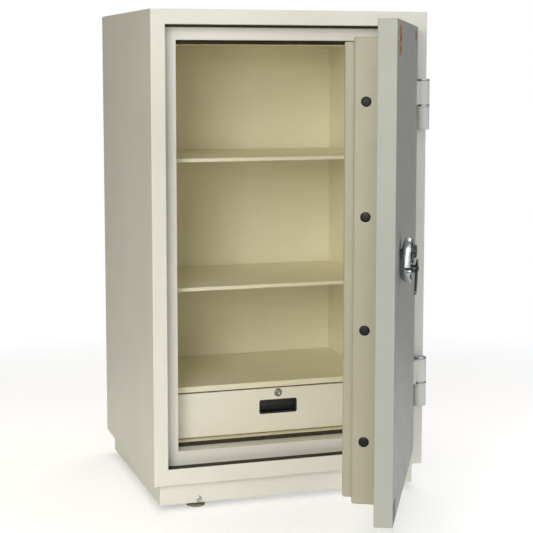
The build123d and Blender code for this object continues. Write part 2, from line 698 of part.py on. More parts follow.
def lock_barrel():
    """Fixed barrel and collar of the drawer lock."""
    y_face = FRONT + FITTING_D
    collar = rod(10.4, (0, y_face - 1.8, DRAWER_LOCK_Z), 1.8, "y")
    collar = fillet(collar.edges().sort_by(Axis.Y)[:1], 0.8)
    barrel = rod(9.4, (0, y_face - 0.5, DRAWER_LOCK_Z), DRAWER_FRONT_T + 1.0, "y")
    return collar + barrel - rod(6.0 + RUN, (0, y_face - 5, DRAWER_LOCK_Z), 30, "y")


def drawer_lock_plug():
    """Key plug with its slot, and the cam behind the panel, turned to the open side."""
    y_face = FRONT + FITTING_D
    plug = rod(6.0, (0, y_face - 1.6, DRAWER_LOCK_Z), DRAWER_FRONT_T + 3.0, "y")
    slot = block((-0.8, 0.8), (y_face - 2, y_face + 8), (DRAWER_LOCK_Z - 3.8, DRAWER_LOCK_Z + 3.8))
    cam_y = (y_face + DRAWER_FRONT_T + 0.8, y_face + DRAWER_FRONT_T + 3.0)
    cam = block((-7, 20.5), cam_y, (DRAWER_LOCK_Z - 6, DRAWER_LOCK_Z + 6))
    return plug + cam - slot


def swing(shape):
    """Turn a part of the shut door to the angle at which the door stands open."""
    hinge = Pos(AXIS_X, AXIS_Y, 0)
    return hinge * Rot(0, 0, OPEN_DEG) * hinge.inverse() * shape


def cabinet_parts():
    """Everything that stays with the cabinet, by node name."""
    parts = {
        "outer_shell": outer_shell(),
        "back_panel": back_panel(),
        "recess_seal": recess_seal(),
        "door_frame": door_frame(),
        "throat_seal": throat_seal(),
        "inner_liner": inner_liner(),
        "frame_core": frame_core(),
        "frame_plugs": frame_plugs(),
        "sill_cap": sill_cap(),
        "plinth": plinth(),
        "plinth_screws": plinth_screws(),
        "foot_brackets": foot_brackets(),
        "levelling_foot_left": levelling_foot(-FOOT_X),
        "levelling_foot_right": levelling_foot(FOOT_X),
        "caster_brackets": caster_brackets(),
        "caster_axles": caster_axles(),
        "body_hinge_lower": body_hinge(HINGE_Z[0]),
        "body_hinge_upper": body_hinge(HINGE_Z[1]),
        "hinge_pins": hinge_pins(),
        "hinge_washers": hinge_washers(),
        "shelf_lower": shelf(SHELF_TOP[0]),
        "shelf_upper": shelf(SHELF_TOP[1]),
        "shelf_clips": shelf_clips(),
        "drawer_housing": drawer_housing(),
        "drawer_runners": drawer_runners(),
    }
    parts.update(insulation())
    for name, x, y, z in wheel_places():
        parts["caster_wheel_" + name] = caster_wheel(x, y, z)
    return parts


def drawer_parts():
    """The drawer, by node name."""
    return {
        "drawer_front": drawer_front(),
        "drawer_tray": drawer_tray(),
        "drawer_slides": drawer_slides(),
        "drawer_pull": drawer_pull(),
        "lock_barrel": lock_barrel(),
        "drawer_lock_plug": drawer_lock_plug(),
    }


def door_parts():
    """The door and what it carries, modelled shut, by node name."""
    return {
        "door_outer_pan": door_outer_pan(),
        "door_fire_core": door_fire_core(),
        "door_back_plate": door_back_plate(),
        "door_plug": door_plug(),
        "inner_cover": inner_cover(),
        "cover_board": cover_board(),
        "door_hinge_lower": door_hinge(HINGE_Z[0]),
        "door_hinge_upper": door_hinge(HINGE_Z[1]),
        "spindle_sleeve": spindle_sleeve(),
        "bolt_guides": bolt_guides(),
        "locking_bolts": locking_bolts(),
        "bolt_bar": bolt_bar(),
        "drive_crank": drive_crank(),
        "lever_spindle": lever_spindle(),
        "lever_handle": lever_handle(),
        "lock_housing": lock_housing(),
        "lock_dial": lock_dial(),
        "lock_case": lock_case(),
        "door_badge": door_badge(),
        "rating_plate": rating_plate(),
        "small_label": small_label(),
    }


def main():
    """Write one file for each part."""
    os.makedirs("parts", exist_ok=True)
    parts = {**cabinet_parts(), **drawer_parts()}
    parts.update({name: swing(shape) for name, shape in door_parts().items()})
    for name, shape in parts.items():
        export_step(shape, "parts/" + name + ".step")
    print(len(parts), "parts written")


main()
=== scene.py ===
"""Looks for a tall fire-resistant document safe that stands open: paint, chrome, seals and small fittings."""
import json
import math

import bmesh
import bpy
from mathutils import Matrix, Vector


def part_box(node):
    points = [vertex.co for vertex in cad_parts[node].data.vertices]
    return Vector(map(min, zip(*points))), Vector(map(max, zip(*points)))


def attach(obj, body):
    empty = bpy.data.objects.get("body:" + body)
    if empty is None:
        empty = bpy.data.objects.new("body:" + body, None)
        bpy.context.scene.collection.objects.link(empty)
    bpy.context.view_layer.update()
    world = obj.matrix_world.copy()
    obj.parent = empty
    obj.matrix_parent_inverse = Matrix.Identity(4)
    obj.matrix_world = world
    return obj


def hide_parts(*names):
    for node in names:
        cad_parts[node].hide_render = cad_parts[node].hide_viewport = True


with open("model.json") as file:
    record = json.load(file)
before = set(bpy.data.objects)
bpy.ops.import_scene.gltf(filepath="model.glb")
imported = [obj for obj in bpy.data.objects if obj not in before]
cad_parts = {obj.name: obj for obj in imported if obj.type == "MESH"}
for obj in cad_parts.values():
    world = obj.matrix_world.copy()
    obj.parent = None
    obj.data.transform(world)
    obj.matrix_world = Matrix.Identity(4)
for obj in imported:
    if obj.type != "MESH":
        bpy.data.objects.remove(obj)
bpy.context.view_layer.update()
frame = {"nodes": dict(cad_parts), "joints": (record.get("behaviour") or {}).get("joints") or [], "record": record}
bpy.ops.object.select_all(action="DESELECT")
joints = {joint["name"]: joint for joint in frame["joints"]}

UP = Vector((0, 0, 1))
FRONT_WAY = Vector((0, -1, 0))
MM = 0.001
door_out = -Vector(joints["lever_turn"]["axis"])        # square to the door's outer face
door_free = Vector(joints["bolts_slide"]["axis"])       # towards the door's free edge


# Finishes

def finish(name, colour, roughness, metallic=0.0):
    """A new material with one shader and the object's own coordinates."""
    made = bpy.data.materials.new(name)
    made.use_nodes = True
    tree = made.node_tree
    tree.nodes.clear()
    end = tree.nodes.new("ShaderNodeOutputMaterial")
    shader = tree.nodes.new("ShaderNodeBsdfPrincipled")
    shader.inputs["Base Color"].default_value = (*colour, 1)
    shader.inputs["Roughness"].default_value = roughness
    shader.inputs["Metallic"].default_value = metallic
    tree.links.new(shader.outputs[0], end.inputs[0])
    place = tree.nodes.new("ShaderNodeTexCoord")
    return made, tree, shader, place.outputs["Object"]


def grain(tree, place, size, detail=2.0, stretch=None, rough=0.5):
    """Noise whose blotches are about this many metres across, drawn out along an axis if stretch is given."""
    if stretch:
        mapping = tree.nodes.new("ShaderNodeMapping")
        mapping.inputs["Scale"].default_value = stretch
        tree.links.new(place, mapping.inputs["Vector"])
        place = mapping.outputs[0]
    noise = tree.nodes.new("ShaderNodeTexNoise")
    noise.inputs["Scale"].default_value = 1 / size
    noise.inputs["Detail"].default_value = detail
    noise.inputs["Roughness"].default_value = rough
    tree.links.new(place, noise.inputs["Vector"])
    return noise.outputs["Fac"]


def spread(tree, value, low, high, start=0.3, end=0.7):
    """A value brought from one range to another."""
    node = tree.nodes.new("ShaderNodeMapRange")
    node.inputs["From Min"].default_value = start
    node.inputs["From Max"].default_value = end
    node.inputs["To Min"].default_value = low
    node.inputs["To Max"].default_value = high
    tree.links.new(value, node.inputs["Value"])
    return node.outputs[0]


def tint(tree, value, dark, light, start=0.3, end=0.7):
    """A colour between two tints."""
    ramp = tree.nodes.new("ShaderNodeValToRGB")
    ramp.color_ramp.elements[0].position = start
    ramp.color_ramp.elements[0].color = (*dark, 1)
    ramp.color_ramp.elements[1].position = end
    ramp.color_ramp.elements[1].color = (*light, 1)
    tree.links.new(value, ramp.inputs[0])
    return ramp.outputs[0]


def relief(tree, value, depth, strength=1.0, under=None):
    """A bump this many metres deep, on top of another."""
    bump = tree.nodes.new("ShaderNodeBump")
    bump.inputs["Distance"].default_value = depth
    bump.inputs["Strength"].default_value = strength
    tree.links.new(value, bump.inputs["Height"])
    if under is not None:
        tree.links.new(under, bump.inputs["Normal"])
    return bump.outputs[0]


def soft_edge(tree, radius):
    """The rounding of a folded or cast edge."""
    node = tree.nodes.new("ShaderNodeBevel")
    node.samples = 3
    node.inputs["Radius"].default_value = radius
    return node.outputs[0]


def wear(tree, shader, colours, gloss, surface):
    """Link a finish's colour, roughness and relief to its shader."""
    tree.links.new(colours, shader.inputs["Base Color"])
    tree.links.new(gloss, shader.inputs["Roughness"])
    tree.links.new(surface, shader.inputs["Normal"])


def shaded(colour, factor):
    """A colour made darker or lighter."""
    return tuple(c * factor for c in colour)


def sprayed_paint(name, colour, roughness, peel=0.0009, fold=0.0015):
    """Stoved paint on folded sheet: fine orange peel, faint cloudiness and soft folds."""
    made, tree, shader, place = finish(name, colour, roughness)
    cloud = grain(tree, place, 0.16, 3)
    colours = tint(tree, cloud, shaded(colour, 0.965), shaded(colour, 1.02))
    gloss = spread(tree, grain(tree, place, 0.05, 4), roughness - 0.05, roughness + 0.06)
    shader.inputs["Specular IOR Level"].default_value = 0.42
    sheet = relief(tree, grain(tree, place, 0.35, 1), 0.0012, 0.6, soft_edge(tree, fold))
    wear(tree, shader, colours, gloss, relief(tree, grain(tree, place, peel, 1), 0.00006, 0.5, sheet))
    return made


body_paint = sprayed_paint("body_paint", (0.80, 0.78, 0.71), 0.42)
# The door's paint is the body's paint at about half its brightness and a little greyer.
door_paint = sprayed_paint("door_paint", (0.385, 0.386, 0.352), 0.42)
liner_paint = sprayed_paint("liner_paint", (0.87, 0.82, 0.61), 0.38)
drawer_paint = sprayed_paint("drawer_paint", (0.88, 0.84, 0.71), 0.38)
# The liner's paint at 0.44 of its brightness: painted shade for the door's plug, inner cover and back plate, which are
# painted like the liner.
liner_paint_in_painted_shade = sprayed_paint("liner_paint_in_painted_shade", (0.385, 0.364, 0.27), 0.40, fold=0.0)
hinge_paint = sprayed_paint("hinge_paint", (0.78, 0.77, 0.72), 0.40, fold=0.001)


def worn_metal(name, colour, roughness, mottle, scratch=0.0, stretch=(1, 1, 14), edge=0.0004):
    """Bare or plated metal: faint mottling, fine drawn scratches and smudges in its shine."""
    made, tree, shader, place = finish(name, colour, roughness, 1.0)
    patch = grain(tree, place, mottle, 3)
    colours = tint(tree, patch, shaded(colour, 0.88), shaded(colour, 1.06))
    smudge = grain(tree, place, 0.012, 4, None, 0.6)
    gloss = spread(tree, smudge, roughness * 0.75, roughness * 1.5)
    lines = grain(tree, place, 0.0012, 2, stretch)
    wear(tree, shader, colours, gloss, relief(tree, lines, 0.00003, scratch, soft_edge(tree, edge)))
    return made


def moulded(name, colour, roughness, pebble=0.0006, edge=0.0006):
    """Moulded plastic: a fine spark-eroded texture, faint flow marks and soft corners."""
    made, tree, shader, place = finish(name, colour, roughness)
    flow = grain(tree, place, 0.03, 3, (1, 1, 2.5))
    colours = tint(tree, flow, shaded(colour, 0.82), shaded(colour, 1.22))
    gloss = spread(tree, grain(tree, place, 0.006, 3), roughness - 0.06, roughness + 0.08)
    surface = relief(tree, grain(tree, place, pebble, 1), 0.00005, 0.7, soft_edge(tree, edge))
    wear(tree, shader, colours, gloss, surface)
    return made


def enamel(name, colour, roughness, coat=0.5, shine=0.5):
    """Stoved enamel with faint mottling, a light orange peel and soft edges."""
    made, tree, shader, place = finish(name, colour, roughness)
    colours = tint(tree, grain(tree, place, 0.02, 4), shaded(colour, 0.8), shaded(colour, 1.5))
    gloss = spread(tree, grain(tree, place, 0.008, 4), roughness * 0.8, roughness * 1.4)
    shader.inputs["Specular IOR Level"].default_value = shine
    shader.inputs["Coat Weight"].default_value = coat
    shader.inputs["Coat Roughness"].default_value = 0.08
    surface = relief(tree, grain(tree, place, 0.0012, 1), 0.00004, 0.5, soft_edge(tree, 0.0005))
    wear(tree, shader, colours, gloss, surface)
    return made


def printed_film(name, colour, light, size, roughness=0.3):
    """Printed foil on a fitting: a soft fade in its ink and a slight ripple."""
    made, tree, shader, place = finish(name, colour, roughness)
    colours = tint(tree, grain(tree, place, size, 2, (1, 1, 1.6)), colour, light, 0.35, 0.65)
    gloss = spread(tree, grain(tree, place, 0.004, 3), roughness - 0.05, roughness + 0.1)
    surface = relief(tree, grain(tree, place, 0.003, 2), 0.00004, 0.4, soft_edge(tree, 0.0003))
    wear(tree, shader, colours, gloss, surface)
    return made


def foam_seal():
    """Black swelling strip: matt, fibrous, with dust in its grain."""
    base = (0.030, 0.026, 0.016)
    made, tree, shader, place = finish("black_seal", base, 0.8)
    shader.inputs["Specular IOR Level"].default_value = 0.3
    colours = tint(tree, grain(tree, place, 0.004, 5), base, (0.065, 0.057, 0.036))
    gloss = spread(tree, grain(tree, place, 0.01, 3), 0.65, 0.92)
    surface = relief(tree, grain(tree, place, 0.0009, 3), 0.00025, 0.8, soft_edge(tree, 0.0008))
    wear(tree, shader, colours, gloss, surface)
    return made


def cast_mix():
    """Cast fire-resisting fill: pale, chalky, pitted with small air bubbles."""
    made, tree, shader, place = finish("cast_fill", (0.62, 0.60, 0.55), 0.92)
    chalk = tint(tree, grain(tree, place, 0.05, 5), (0.52, 0.50, 0.45), (0.70, 0.68, 0.62))
    tree.links.new(chalk, shader.inputs["Base Color"])
    pits = tree.nodes.new("ShaderNodeTexVoronoi")
    pits.inputs["Scale"].default_value = 260
    tree.links.new(place, pits.inputs["Vector"])
    bubbles = relief(tree, spread(tree, pits.outputs["Distance"], 0, 1, 0.05, 0.35), 0.0004, 0.6)
    tree.links.new(relief(tree, grain(tree, place, 0.0015, 4), 0.0002, 0.7, bubbles), shader.inputs["Normal"])
    return made


black_seal = foam_seal()
cast_fill = cast_mix()
zinc = worn_metal("zinc", (0.60, 0.61, 0.60), 0.34, 0.009, 0.5)
chrome = worn_metal("chrome", (0.50, 0.53, 0.55), 0.2, 0.05, 0.12)
dark_steel = enamel("dark_steel", (0.008, 0.008, 0.007), 0.34, coat=0.0, shine=0.22)
black_enamel = enamel("black_enamel", (0.010, 0.010, 0.011), 0.2)
lock_steel = worn_metal("lock_steel", (0.34, 0.33, 0.28), 0.27, 0.02, 0.3)
black_plastic = moulded("black_plastic", (0.010, 0.010, 0.010), 0.42)
foot_plastic = moulded("foot_plastic", (0.22, 0.21, 0.14), 0.5)
wheel_nylon = moulded("wheel_nylon", (0.3, 0.3, 0.29), 0.5)
badge_film = printed_film("badge_film", (0.40, 0.055, 0.025), (0.44, 0.07, 0.03), 0.05, 0.42)
badge_gold = worn_metal("badge_gold", (0.52, 0.36, 0.13), 0.42, 0.03, 0.2)
plate_film = printed_film("plate_film", (0.085, 0.095, 0.11), (0.10, 0.112, 0.13), 0.04, 0.35)
label_film = printed_film("label_film", (0.13, 0.022, 0.02), (0.15, 0.028, 0.024), 0.03, 0.4)
dial_white = enamel("dial_white", (0.62, 0.62, 0.60), 0.35)

by_slot = {
    "body_paint": body_paint, "liner_paint": liner_paint, "hinge_paint": hinge_paint, "fire_fill": cast_fill,
    "black_seal": black_seal, "zinc_steel": zinc, "chrome": chrome, "dark_steel": dark_steel,
    "black_enamel": black_enamel, "black_plastic": black_plastic, "grey_foot": foot_plastic,
    "nylon_wheel": wheel_nylon, "badge_red": badge_film, "plate_grey": plate_film,
}
for part in frame["record"]["subparts"]:
    node = frame["nodes"][part["node"]]
    node.data.materials.clear()
    node.data.materials.append(by_slot[part["material_slot"]])
frame["nodes"]["door_outer_pan"].data.materials[0] = door_paint
frame["nodes"]["frame_plugs"].data.materials[0] = body_paint
frame["nodes"]["drawer_front"].data.materials[0] = drawer_paint
# Painted shade: the door's plug, inner cover and back plate take the darkened liner paint.
for name in ("door_plug", "inner_cover", "door_back_plate"):
    frame["nodes"][name].data.materials[0] = liner_paint_in_painted_shade


# Making pieces

def only(piece):
    """Select one piece and nothing else."""
    bpy.ops.object.select_all(action="DESELECT")
    piece.select_set(True)
    bpy.context.view_layer.objects.active = piece


def open_up(piece):
    """Go into edit mode on one piece, working on faces, with nothing selected."""
    only(piece)
    bpy.ops.object.mode_set(mode="EDIT")
    bpy.ops.mesh.select_mode(type="FACE")
    bpy.ops.mesh.select_all(action="DESELECT")


def close_up(seams=False):
    """Leave edit mode with every face pointing outwards, and doubled points merged if there are seams."""
    bpy.ops.mesh.select_all(action="SELECT")
    if seams:
        bpy.ops.mesh.remove_doubles(threshold=1e-6)
    bpy.ops.mesh.normals_make_consistent(inside=False)
    bpy.ops.object.mode_set(mode="OBJECT")


def pick_faces(piece, wanted):
    """Select the faces that pass a test, in edit mode."""
    bpy.ops.mesh.select_all(action="DESELECT")
    mesh = bmesh.from_edit_mesh(piece.data)
    for face in mesh.faces:
        face.select_set(bool(wanted(face)))
    bmesh.update_edit_mesh(piece.data)


def pull(move, scale=(1, 1, 1), centre=(0, 0, 0)):
    """Extrude what is selected, and resize its end."""
    bpy.ops.mesh.extrude_region_move(TRANSFORM_OT_translate={"value": move})
    if tuple(scale) != (1, 1, 1):
        bpy.ops.transform.resize(value=scale, center_override=centre)


def turned(name, profile, sides=64, half_step=False):
    """A solid turned about its Z axis: a disc drawn out ring by ring through (radius, height) pairs."""
    (radius, height), *rings = profile
    twist = math.pi / sides if half_step else 0
    bpy.ops.mesh.primitive_circle_add(vertices=sides, radius=radius, fill_type="NGON",
                                      location=(0, 0, height), rotation=(0, 0, twist))
    piece = bpy.context.object
    piece.name = name
    bpy.ops.object.transform_apply(location=True, rotation=True, scale=True)
    bpy.ops.object.mode_set(mode="EDIT")
    bpy.ops.mesh.select_mode(type="FACE")
    bpy.ops.mesh.select_all(action="SELECT")
    for wide, high in rings:
        pull((0, 0, high - height), (wide / radius, wide / radius, 1), (0, 0, high))
        radius, height = wide, high
    close_up()
    return piece


def ring(name, section, sides=64):
    """A ring whose section is a closed loop of (radius, height) pairs."""
    (radius, height), *rest = section
    bpy.ops.mesh.primitive_circle_add(vertices=sides, radius=radius, fill_type="NOTHING", location=(0, 0, height))
    piece = bpy.context.object
    piece.name = name
    bpy.ops.object.transform_apply(location=True, rotation=True, scale=True)
    bpy.ops.object.mode_set(mode="EDIT")
    bpy.ops.mesh.select_mode(type="EDGE")
    bpy.ops.mesh.select_all(action="SELECT")
    for wide, high in [*rest, section[0]]:
        pull((0, 0, high - height), (wide / radius, wide / radius, 1), (0, 0, high))
        radius, height = wide, high
    close_up(seams=True)
    return piece


def in_mm(pairs):
    """Pairs of millimetres as metres."""
    return [(radius * MM, height * MM) for radius, height in pairs]


def corners(node):
    """The low and high corners of a CAD node's box."""
    low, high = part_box(node)
    return Vector(low), Vector(high)


def column(spot, sides):
    """Which of a turned piece's columns of faces a point is in."""
    return round((math.atan2(spot.y, spot.x) % math.tau) / math.tau * sides - 0.5)


def slab(name, size, middle=(0, 0, 0)):
    """A block to start a flat piece from."""
    bpy.ops.mesh.primitive_cube_add(size=1, location=middle)
    piece = bpy.context.object
    piece.name = name
    piece.scale = size
    bpy.ops.object.transform_apply(location=True, rotation=True, scale=True)
    return piece


def rounded_sheet(name, width, height, corner, at_z=0.0, steps=6):
    """A flat rectangle with round corners, to be drawn out into a plate or a frame."""
    bpy.ops.mesh.primitive_plane_add(size=1, location=(0, 0, at_z))
    piece = bpy.context.object
    piece.name = name
    piece.scale = (width, height, 1)
    bpy.ops.object.transform_apply(location=True, rotation=True, scale=True)
    bpy.ops.object.mode_set(mode="EDIT")
    bpy.ops.mesh.select_all(action="SELECT")
    bpy.ops.mesh.bevel(offset=corner, segments=steps, affect="VERTICES")
    bpy.ops.mesh.select_mode(type="FACE")
    bpy.ops.mesh.select_all(action="SELECT")
    return piece


def eased(piece, width, steps=3, angle=40):
    """Round a piece's sharp edges."""
    only(piece)
    ease = piece.modifiers.new("ease", "BEVEL")
    ease.width, ease.segments = width, steps
    ease.limit_method, ease.angle_limit = "ANGLE", math.radians(angle)
    bpy.ops.object.modifier_apply(modifier=ease.name)


def softened(piece, levels=1):
    """Subdivide a piece into a smooth one."""
    only(piece)
    soft = piece.modifiers.new("soft", "SUBSURF")
    soft.levels = soft.render_levels = levels
    bpy.ops.object.modifier_apply(modifier=soft.name)


def carved(piece, tool, how="DIFFERENCE"):
    """Cut a tool's shape out of a piece, or weld it on."""
    only(piece)
    cut = piece.modifiers.new("cut", "BOOLEAN")
    cut.operation, cut.solver, cut.object = how, "EXACT", tool
    bpy.ops.object.modifier_apply(modifier=cut.name)
    bpy.data.objects.remove(tool, do_unlink=True)


def moved(piece, place):
    """Put a piece in its place, leaving its object at the origin."""
    only(piece)
    piece.matrix_world = place
    bpy.ops.object.transform_apply(location=True, rotation=True, scale=True)


def copy_of(piece):
    """A copy with its own mesh."""
    twin = piece.copy()
    twin.data = piece.data.copy()
    bpy.context.scene.collection.objects.link(twin)
    return twin


def joined(pieces):
    """Several shells as one piece."""
    bpy.ops.object.select_all(action="DESELECT")
    for piece in pieces:
        piece.select_set(True)
    bpy.context.view_layer.objects.active = pieces[0]
    bpy.ops.object.join()
    return pieces[0]


def fitted(piece, body, made, stands_for=(), angle=35):
    """Give a finished piece its finish, its body and the CAD nodes it stands for."""
    only(piece)
    bpy.ops.object.shade_smooth_by_angle(angle=math.radians(angle))
    if made is not None:
        piece.data.materials.clear()
        piece.data.materials.append(made)
    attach(piece, body)
    if stands_for:
        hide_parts(*stands_for)


def reach(node, way):
    """How far a CAD node reaches along a direction."""
    return max(way.dot(corner.co) for corner in frame["nodes"][node].data.vertices)


def facing(at, out):
    """A place whose Z looks out of an upright face, with Y up."""
    out = out.normalized()
    right = UP.cross(out)
    turn = Matrix((right, UP, out)).transposed().to_4x4()
    return Matrix.Translation(at) @ turn


def on_face(point, face_reach, out):
    """A point moved square on to a face."""
    point = Vector(point)
    return point + out * (face_reach - out.dot(point))


def middle(node):
    """The middle of a CAD node's box."""
    low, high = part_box(node)
    return (Vector(low) + Vector(high)) / 2


# The door's lock

door_face = reach("door_outer_pan", door_out)
lever_seat = facing(on_face(joints["lever_turn"]["pos_m"], door_face, door_out), door_out)
dial_seat = facing(on_face(joints["dial_spin"]["pos_m"], door_face, door_out), door_out)
lock_pitch = dial_seat.translation.z - lever_seat.translation.z


def make_lock_housing():
    """Cast oval housing, flared from its foot, with a well for the lever's neck and a notch beside it."""
    rings = [(21.0, 0, 0.40), (21.1, 0.8, 0.41), (21.8, 2.2, 0.46), (23.8, 4.4, 0.58), (26.6, 6.8, 0.76),
             (29.0, 8.8, 0.91), (30.2, 10.2, 0.98), (30.5, 11.6, 1), (30.5, 21.5, 1), (30.2, 23.2, 1), (29.3, 24.4, 1),
             (27.8, 25.0, 1), (26.6, 25.0, 1), (26.1, 24.5, 1), (24.0, 24.3, 1)]
    piece = turned("lock_housing_cast", in_mm(pair[:2] for pair in rings), 72, half_step=True)
    only(piece)
    bpy.ops.object.mode_set(mode="EDIT")
    bpy.ops.mesh.select_mode(type="VERT")
    for height, share in dict((height, share) for _, height, share in rings).items():
        bpy.ops.mesh.select_all(action="DESELECT")
        mesh = bmesh.from_edit_mesh(piece.data)
        for point in mesh.verts:
            point.select_set(point.co.y > 0 and abs(point.co.z - height * MM) < 0.01 * MM)
        bmesh.update_edit_mesh(piece.data)
        bpy.ops.transform.translate(value=(0, lock_pitch * share, 0))
    bpy.ops.mesh.select_mode(type="FACE")
    close_up()
    well = turned("well", [(12.2 * MM, 11 * MM), (12.2 * MM, 23.4 * MM), (13.6 * MM, 26 * MM)], 48)
    carved(piece, well)
    notch = slab("notch", (30 * MM, 12 * MM, 14 * MM), (-27 * MM, 0, 19 * MM))
    eased(notch, 1.5 * MM, 3)
    carved(piece, notch)
    bore = turned("bore", [(8.9 * MM, -2 * MM), (8.9 * MM, 20 * MM)], 40)
    carved(piece, bore)
    dial_bore = turned("dial_bore", [(5.0 * MM, -2 * MM), (5.0 * MM, 30 * MM)], 32)
    moved(dial_bore, Matrix.Translation((0, lock_pitch, 0)))
    carved(piece, dial_bore)
    moved(piece, lever_seat)
    fitted(piece, "door", chrome, ["lock_housing"])


def make_lever():
    """Flat forged lever drawn out to a rounded tip, on a tapered neck with a domed screw."""
    thick, stand_off = 5.5, 33
    centre = (0, 0, (stand_off + thick / 2) * MM)
    blade = slab("lever_handle_forged", (16 * MM, 23 * MM, thick * MM), centre)
    open_up(blade)
    steps = ((-1, ((12, 0.90), (14, 0.82), (14, 0.80), (11, 0.86), (7, 0.50))), (1, ((6, 0.84), (6, 0.72), (4, 0.5))))
    for side, draws in steps:
        pick_faces(blade, lambda face: face.normal.x * side > 0.9)
        for length, narrow in draws:
            pull((side * length * MM, 0, 0), (1, narrow, 1), centre)
    close_up()
    eased(blade, 1.1 * MM, 2, 50)
    softened(blade, 1)
    neck = turned("neck", [(8.9 * MM, 4 * MM), (10.6 * MM, 12 * MM), (11.0 * MM, 13 * MM), (10.9 * MM, 14.5 * MM),
                           (9.2 * MM, 26 * MM), (8.6 * MM, 31 * MM), (8.8 * MM, 35.5 * MM)], 48)
    carved(blade, neck, "UNION")
    screw = turned("screw", [(5.2 * MM, 36 * MM), (5.2 * MM, 38.9 * MM), (4.8 * MM, 39.5 * MM), (3.4 * MM, 40.0 * MM),
                             (2.2 * MM, 40.0 * MM), (2.0 * MM, 39.0 * MM)], 32)
    carved(blade, screw, "UNION")
    inside = lever_seat.inverted()
    flat = [inside @ corner.co for corner in frame["nodes"]["lever_handle"].data.vertices]
    tip = max(flat, key=lambda p: p.x * p.x + p.y * p.y)
    aim = math.atan2(-tip.y, -tip.x)
    moved(blade, lever_seat @ Matrix.Rotation(aim, 4, "Z"))
    fitted(blade, "lever", black_enamel, ["lever_handle"], 40)


def make_dial():
    """Dial with a bevelled skirt, white graduations and numbers, and a fluted grip."""
    low = min((dial_seat.inverted() @ corner.co).z for corner in frame["nodes"]["lock_dial"].data.vertices)
    profile = [(4.95, low / MM), (4.95, 25.4), (25.2, 25.4), (26.0, 26.0), (26.0, 27.6), (25.6, 28.2), (25.0, 28.4),
               (23.2, 28.9), (22.2, 29.1), (17.0, 29.8), (15.6, 30.0), (14.4, 30.4), (14.0, 31.0), (14.0, 34.6),
               (13.4, 35.3), (12.4, 35.5), (6.5, 35.2), (5.9, 34.7)]
    sides, per_mark, per_number, flute_columns = 200, 4, 20, 6
    long_mark, short_mark, mark_end, skirt_height = 22.3 * MM, 23.3 * MM, 25.0 * MM, 28.2 * MM
    piece = turned("lock_dial_graduated", in_mm(profile), sides)
    open_up(piece)

    def flute(face):
        spot = face.calc_center_median()
        on_grip = 13.7 * MM < math.hypot(spot.x, spot.y) < 14.2 * MM and 31.2 * MM < spot.z < 34.4 * MM
        return on_grip and column(spot, sides) % per_number < flute_columns

    pick_faces(piece, flute)
    bpy.ops.mesh.extrude_region_shrink_fatten(TRANSFORM_OT_shrink_fatten={"value": -0.9 * MM})
    close_up()
    piece.data.materials.append(black_enamel)
    piece.data.materials.append(dial_white)
    for face in piece.data.polygons:
        radius = math.hypot(face.center.x, face.center.y)
        step = column(face.center, sides)
        inner = long_mark if step % per_number == 0 else short_mark
        if step % per_mark == 0 and inner < radius < mark_end and face.center.z > skirt_height:
            face.material_index = 1
    numbers = []
    for tens in range(10):
        turn = -math.tau * tens / 10
        bpy.ops.object.text_add()
        figure = bpy.context.object
        figure.data.body = str(tens * 10)
        figure.data.size = 4.4 * MM
        figure.data.extrude = 0.12 * MM
        figure.data.align_x = figure.data.align_y = "CENTER"
        bpy.ops.object.convert(target="MESH")
        place = Matrix.Rotation(turn, 4, "Z") @ Matrix.Translation((0, 19.6 * MM, 29.5 * MM))
        figure = bpy.context.object
        moved(figure, place)
        figure.data.materials.clear()
        figure.data.materials.append(dial_white)
        numbers.append(figure)
    joined([piece, *numbers])
    moved(piece, dial_seat)
    fitted(piece, "dial", None, ["lock_dial"])


def make_bolts():
    """Four turned bolts with chamfered ends, a fine groove and a centre mark."""
    low, high = corners("locking_bolts")
    end = reach("locking_bolts", door_free)
    start = -reach("locking_bolts", -door_free)
    radius = 11.1 * MM
    across = middle("locking_bolts")
    length = end - start
    turning = [(0, 9.0), (0.25, 8.7), (0.25, 8.1), (0, 7.8), (0, 2.2), (0.5, 1.2), (1.7, 0.7), (3.8, 0.25), (6.5, 0.05)]
    profile = [(radius, 0), *((radius - cut * MM, length - back * MM) for cut, back in turning),
               (2.0 * MM, length), (1.7 * MM, length - 0.3 * MM)]
    bolt = turned("locking_bolts_turned", profile, 64)
    seat = on_face(across, start, door_free)
    first, last = low.z + radius, high.z - radius
    row = [bolt, copy_of(bolt), copy_of(bolt), copy_of(bolt)]
    for count, piece in enumerate(row):
        seat.z = first + (last - first) * count / 3
        moved(piece, facing(seat, door_free))
    fitted(joined(row), "bolts", dark_steel, ["locking_bolts"])


# Hinges and the door's plates

